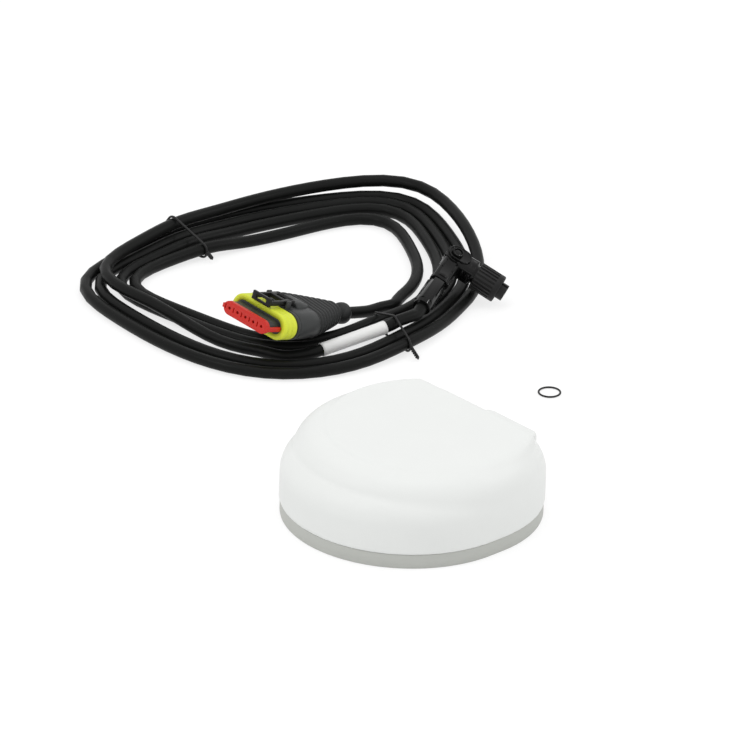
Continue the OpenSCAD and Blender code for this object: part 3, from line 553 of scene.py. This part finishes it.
lid_form = bmesh.new()
lid_set = elbow_set @ Matrix.Translation((0, 0, 5.5))
lid = bmesh.new()
outline = bmesh.ops.create_circle(lid, cap_ends=True, segments=64, radius=4.6)["verts"]
for v in outline:
    v.co.x += 3.3 if v.co.x > 0.001 else 0
walls = bmesh.ops.extrude_face_region(lid, geom=lid.faces[:])["geom"]
top = [g for g in walls if isinstance(g, bmesh.types.BMFace)]
bmesh.ops.translate(lid, verts=[g for g in walls if isinstance(g, bmesh.types.BMVert)], vec=(0, 0, 1.2))
bmesh.ops.inset_region(lid, faces=top, thickness=0.55, depth=0)
bmesh.ops.inset_region(lid, faces=top, thickness=0.15, depth=-0.45)
bmesh.ops.recalc_face_normals(lid, faces=lid.faces)
rounded(lid, 0.12)
joined(lid_form, lid, lid_set)
turned_ring(lid_form, ((0.5, 2.2), (1.8, 2.2), (1.8, 2.95), (0.5, 2.95)),
            lid_set @ Matrix.Rotation(-math.pi / 2, 4, "Y"))
glass = bmesh.new()
bmesh.ops.create_uvsphere(glass, u_segments=32, v_segments=12, radius=2.25,
                          matrix=Matrix.Translation((0, 0, 1.0)) @ Matrix.Diagonal((1, 1, 0.25, 1)))
smoothed(glass)
joined(lid_form, glass, lid_set)
made("elbow_lid", lid_form, gloss_black, body_name, slots["elbow_cap"], "elbow_cap")
carried_over("gland_nut", 0.0004, gloss_black)
carried_over("contact_carrier", 0.00025, matt_black)

# The coupling nut: a matt black ring with moulded grip ribs and a plain front
# band, which turns on the collar of the elbow's neck.
nut_form = bmesh.new()
nut_profile = ((13.4, 5.3), (13.4, 6.7), (24.4, 6.7), (24.4, 7.4), (26.9, 7.4), (27.4, 7.0), (27.4, 6.2),
               (15.1, 6.2), (15.1, 5.3))
turned_ring(nut_form, nut_profile, elbow_set, 72)
rib_count = 22
for k in range(rib_count):
    block(nut_form, (13.8, -0.5, 6.4), (24.6, 0.5, 7.38), 0.22,
          elbow_set @ Matrix.Rotation(2 * math.pi * k / rib_count, 4, "X"))
made("coupling_nut_grip", nut_form, matt_black, "coupling_nut", slots["coupling_nut"], "coupling_nut")

# The harness plug's housing: dark grey nylon, one row of five ways, a flange that
# stops the seal, a hump behind the latch and two ears that carry its stubs.
plug_roll, plug_flatness, plug_row = math.radians(-3.5), 0.86, 24
plug_frame = lay_turn @ plug_place @ millimetres
plug_set = plug_frame @ Matrix.Rotation(plug_roll, 4, "X") @ Matrix.Diagonal((1, 1, plug_flatness, 1))
plug_grey = moulded("plug_grey", (0.030, 0.032, 0.032), 0.42, 0.0005, 0.00004, 0.15, worn=0.15)


def lofted(form, stations, place, width=0.0, ring=False, segments=64):
    part = bmesh.new()
    rows = []
    for x, row, r in stations:
        loop = bmesh.ops.create_circle(part, segments=segments, radius=r)["verts"]
        for v in loop:
            v.co = Vector((x, v.co.x + math.copysign(row / 2, v.co.x), v.co.y))
        rows.append(list({e for v in loop for e in v.link_edges}))
    for low, high in zip(rows, rows[1:]):
        bmesh.ops.bridge_loops(part, edges=low + high)
    if ring:
        bmesh.ops.bridge_loops(part, edges=rows[-1] + rows[0])
    else:
        for end in (rows[0], rows[-1]):
            bmesh.ops.edgeloop_fill(part, edges=end)
    bmesh.ops.recalc_face_normals(part, faces=part.faces)
    if width:
        rounded(part, width)
    smoothed(part)
    joined(form, part, place)


housing_form = bmesh.new()
tongue_section = ((2.6, 3.6), (9.8, 3.6), (9.8, 4.6), (18.8, 4.6))
flange_section = ((18.8, 8.4), (20.2, 8.4), (20.5, 8.0), (21.1, 8.0), (21.4, 8.3))
shoulder_stations = [(26, 23.6, 8.35), (31, 22.4, 8.25), (36.2, 21, 8.0)]
lofted(housing_form, [(x, plug_row, r) for x, r in tongue_section], plug_set, 0.3)
lofted(housing_form, [(x, plug_row, r) for x, r in flange_section] + shoulder_stations, plug_set, 0.25)
lofted(housing_form, ((27, 9, 3.4), (27.6, 9, 4.2), (31, 9, 4.3), (34.5, 8.4, 3.6), (38, 7, 2.2)),
       plug_set @ Matrix.Translation((0, 0, 6.6)), 0.4)
for side in (-1, 1):
    block(housing_form, (19, 7.5 * side - 0.6, 5.2), (22.2, 7.5 * side + 0.6, 13), 0.35, plug_set)
made("plug_housing_shell", housing_form, plug_grey, body_name, slots["plug_housing"], "plug_housing")

# The ribbed boot: soft dark rubber in nine corrugations that draw in from the
# housing's oval to a round neck and a bulb on the cable.
boot_form = bmesh.new()
boot_x, rib_pitch, rib_rows, taper_length = 36, 3, 9, 26
rib_section = ((0.0, 0.85), (0.4, 0.6), (0.8, 0.12), (1.2, 0.0), (1.8, 0.0), (2.2, 0.12), (2.6, 0.6))
boot_stations = []
for k in range(rib_rows):
    for step, sink in rib_section:
        x = boot_x + rib_pitch * k + step
        f = min(1, (x - boot_x) / taper_length)
        boot_stations.append((x, 22 * (1 - 0.93 * f ** 1.15), 6.9 - 0.7 * f - sink))
boot_stations += [(63.1, 0.6, 5.0), (63.6, 0, 4.0), (64.2, 0, 3.75), (65.4, 0, 3.75), (66.0, 0, 4.3),
                  (66.7, 0, 5.1), (67.8, 0, 5.5), (69, 0, 5.6), (70.4, 0, 5.5), (71.5, 0, 5.1),
                  (72.3, 0, 4.4), (72.7, 0, 3.6)]
lofted(boot_form, boot_stations, plug_frame)
made("plug_boot_rubber", boot_form, moulded("boot_rubber", (0.020, 0.021, 0.021), 0.5, 0.0005, 0.00005, 0.2),
     body_name, slots["plug_boot"], "plug_boot")

# The interface seal: a thick lime silicone band with three round ribs, slipped
# over the tongue against the housing's flange.
seal_form = bmesh.new()
seal_section = [(9.6, 4.75), (9.6, 7.3), (9.8, 7.8), (10.3, 8.1)]
for x in (10.6, 13.5, 16.4):
    seal_section += [(x, 8.2), (x + 1.3, 8.2), (x + 1.7, 7.9), (x + 2.2, 7.9)]
seal_section = seal_section[:-2] + [(18.2, 8.0), (18.45, 7.6), (18.45, 4.75)]
lofted(seal_form, [(x, plug_row, r) for x, r in seal_section], plug_set, ring=True)
seal_lime = moulded("seal_lime", (0.66, 0.73, 0.045), 0.42, 0.0006, 0.00003, 0.05)
made("interface_seal_band", seal_form, seal_lime, body_name, slots["interface_seal"], "interface_seal")

# The secondary lock: a red nylon face plate with five ways and the slots between
# them, on two side arms that slide beside the tongue.
lock_form = solid_copy("secondary_lock")
bmesh.ops.transform(lock_form, matrix=plug_set @ plug_frame.inverted(), verts=lock_form.verts)
rounded(lock_form, 0.0003)
made("secondary_lock_piece", lock_form, moulded("lock_red", (0.56, 0.02, 0.012), 0.36, 0.0005, 0.00003, 0.1),
     "lock", slots["secondary_lock"], "secondary_lock")

# The latch lever: black nylon, an upright windowed plate in front, two arms and a
# press pad with a slot, hung on two stubs between the housing's ears.
latch_black = moulded("latch_black", (0.006, 0.006, 0.006), 0.34, 0.0006, 0.00003, 0.2, 0.22, worn=0.12)
latch_form = bmesh.new()


def pierced(form, across_cuts, up_cuts, hole, thick, place, width):
    part = bmesh.new()
    bmesh.ops.create_grid(part, x_segments=len(across_cuts) - 1, y_segments=len(up_cuts) - 1, size=1)
    for v in part.verts:
        i = round((v.co.x + 1) / 2 * (len(across_cuts) - 1))
        j = round((v.co.y + 1) / 2 * (len(up_cuts) - 1))
        v.co = Vector((across_cuts[i], up_cuts[j], 0))
    cut = [f for f in part.faces if hole[0] < f.calc_center_median().x < hole[1]
           and hole[2] < f.calc_center_median().y < hole[3]]
    bmesh.ops.delete(part, geom=cut, context="FACES")
    body = bmesh.ops.extrude_face_region(part, geom=part.faces[:])["geom"]
    bmesh.ops.translate(part, verts=[g for g in body if isinstance(g, bmesh.types.BMVert)], vec=(0, 0, thick))
    bmesh.ops.recalc_face_normals(part, faces=part.faces)
    rounded(part, width)
    joined(form, part, place)


facing_front = Matrix(((0, 0, 1), (1, 0, 0), (0, 1, 0))).to_4x4()
pierced(latch_form, (-6.5, -3.6, 3.6, 6.5), (8.9, 10.4, 12.6, 14.3), (-3.6, 3.6, 10.4, 12.6), 1.6,
        plug_set @ Matrix.Translation((7.6, 0, 0)) @ facing_front, 0.3)
pierced(latch_form, (19.0, 20.9, 23.2, 26.0), (-6.5, -3.4, 3.4, 6.5), (20.9, 23.2, -3.4, 3.4), 2.7,
        plug_set @ Matrix.Translation((0, 0, 10)), 0.35)
for side in (-1, 1):
    block(latch_form, (8.6, 5.7 * side - 0.8, 9.7), (20, 5.7 * side + 0.8, 12.7), 0.35, plug_set)
for k in range(3):
    block(latch_form, (23.7 + 0.8 * k, -5.2, 12.5), (24.1 + 0.8 * k, 5.2, 12.95), 0.12, plug_set)
turned_ring(latch_form, ((-7.9, 0.0005), (-7.9, 0.9), (7.9, 0.9), (7.9, 0.0005)),
            plug_set @ Matrix.Translation((20.6, 0, 11.2)) @ Matrix.Rotation(math.pi / 2, 4, "Z"), 24)
made("latch_lever_arm", latch_form, latch_black, "latch", slots["latch_lever"], "latch_lever")

# The conductors of both connectors: gold and tinned contacts, seals and cores,
# which only show in the mouths of the connectors.
recoated((
    ("carrier_contacts", (0.75, 0.52, 0.18), 0.25, 1.0), ("gland_seal", (0.015, 0.015, 0.015), 0.6, 0.0),
    ("plug_contacts", (0.55, 0.55, 0.53), 0.3, 1.0), ("wire_seals", (0.7, 0.35, 0.03), 0.5, 0.0),
    ("harness_wires", (0.45, 0.45, 0.47), 0.45, 0.0)), 0.06)

# The cord leaves the plug's bulb, lies coiled on the floor and ends in
# the elbow connector. Both ends, the label and the ties are gathered in one list of the pieces on it.
on_cord = [bpy.data.objects[name] for name in (
    "cable_label_sleeve", "tie_rear_wire", "tie_front_wire", "elbow_moulding", "elbow_lid",
    "gland_nut_piece", "contact_carrier_piece", "coupling_nut_grip", "plug_housing_shell",
    "plug_boot_rubber", "interface_seal_band", "secondary_lock_piece", "latch_lever_arm")]
on_cord += [nodes[node] for node in
            ("carrier_contacts", "gland_seal", "plug_contacts", "wire_seals", "harness_wires")]
